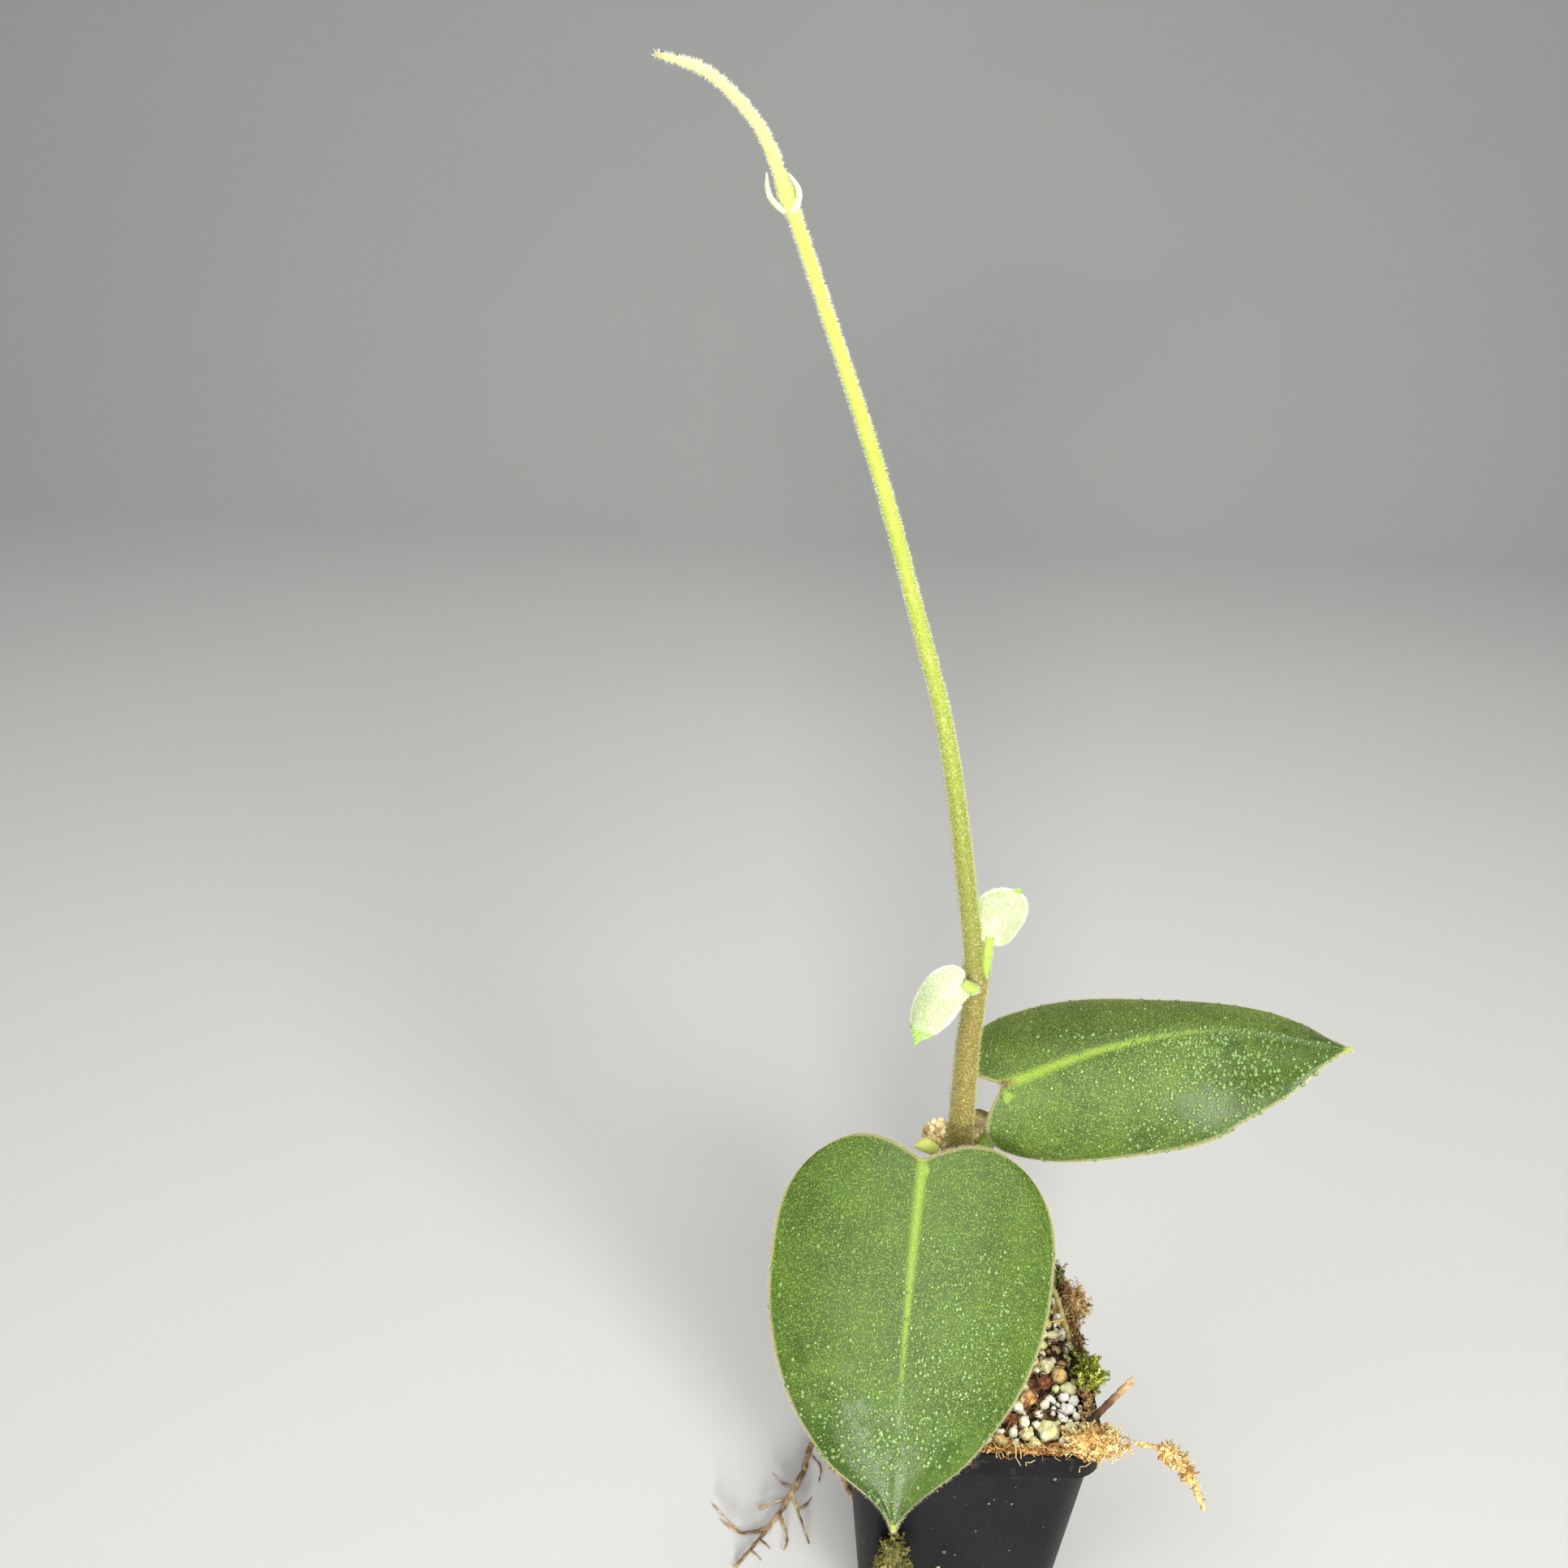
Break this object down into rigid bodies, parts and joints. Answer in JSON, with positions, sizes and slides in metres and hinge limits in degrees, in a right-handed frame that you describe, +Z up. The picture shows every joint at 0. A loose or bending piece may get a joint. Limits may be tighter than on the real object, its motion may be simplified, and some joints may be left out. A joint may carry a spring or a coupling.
{
  "type": "potted hoya plant",
  "caption": "Rooted hoya cutting in a square nursery pot, with felted heart-shaped leaves and a long new shoot.",
  "frame": {"origin": "middle of the underside of the pot's floor, on the surface that it stands on", "axes": "+Z up, +X to the right of the pot seen from its front, +Y to its back; the front is -Y"},
  "size_m": [0.1623, 0.086, 0.366],
  "materials": {
    "pot_plastic": "satin",
    "grown_leaf": "satin",
    "young_leaf": "matte",
    "green_stem": "matte",
    "old_stem": "matte",
    "root": "matte",
    "potting_mix": "matte",
    "mineral_grain": "matte",
    "fertiliser": "satin",
    "bark": "matte",
    "moss": "matte"
  },
  "bodies": {
    "root": {"bark_chip_1": "bark", "bark_chip_2": "bark", "bark_chip_3": "bark", "bark_chip_4": "bark", "bark_chip_5": "bark", "bud_leaf_left": "young_leaf", "bud_leaf_right": "young_leaf", "buried_root_1": "root", "buried_root_2": "root", "buried_root_3": "root", "cutting_stem": "old_stem", "drain_root": "root", "front_moss_clump": "moss", "green_moss": "moss", "heart_leaf": "grown_leaf", "left_moss_tuft": "moss", "new_shoot": "green_stem", "node_bract": "green_stem", "nursery_pot": "pot_plastic", "perlite_1": "mineral_grain", "perlite_2": "mineral_grain", "perlite_3": "mineral_grain", "perlite_4": "mineral_grain", "perlite_5": "mineral_grain", "potting_mix": "potting_mix", "prill_1": "fertiliser", "prill_2": "fertiliser", "prill_3": "fertiliser", "pumice_1": "mineral_grain", "pumice_10": "mineral_grain", "pumice_11": "mineral_grain", "pumice_2": "mineral_grain", "pumice_3": "mineral_grain", "pumice_4": "mineral_grain", "pumice_5": "mineral_grain", "pumice_6": "mineral_grain", "pumice_7": "mineral_grain", "pumice_8": "mineral_grain", "pumice_9": "mineral_grain", "right_leaf": "grown_leaf", "rim_moss_back": "moss", "rim_moss_right": "moss", "rim_sphagnum": "moss", "sphagnum_strand": "moss", "surface_root": "root", "twig": "bark", "young_leaf_left": "young_leaf", "young_leaf_right": "young_leaf"}
  },
  "joints": []
}
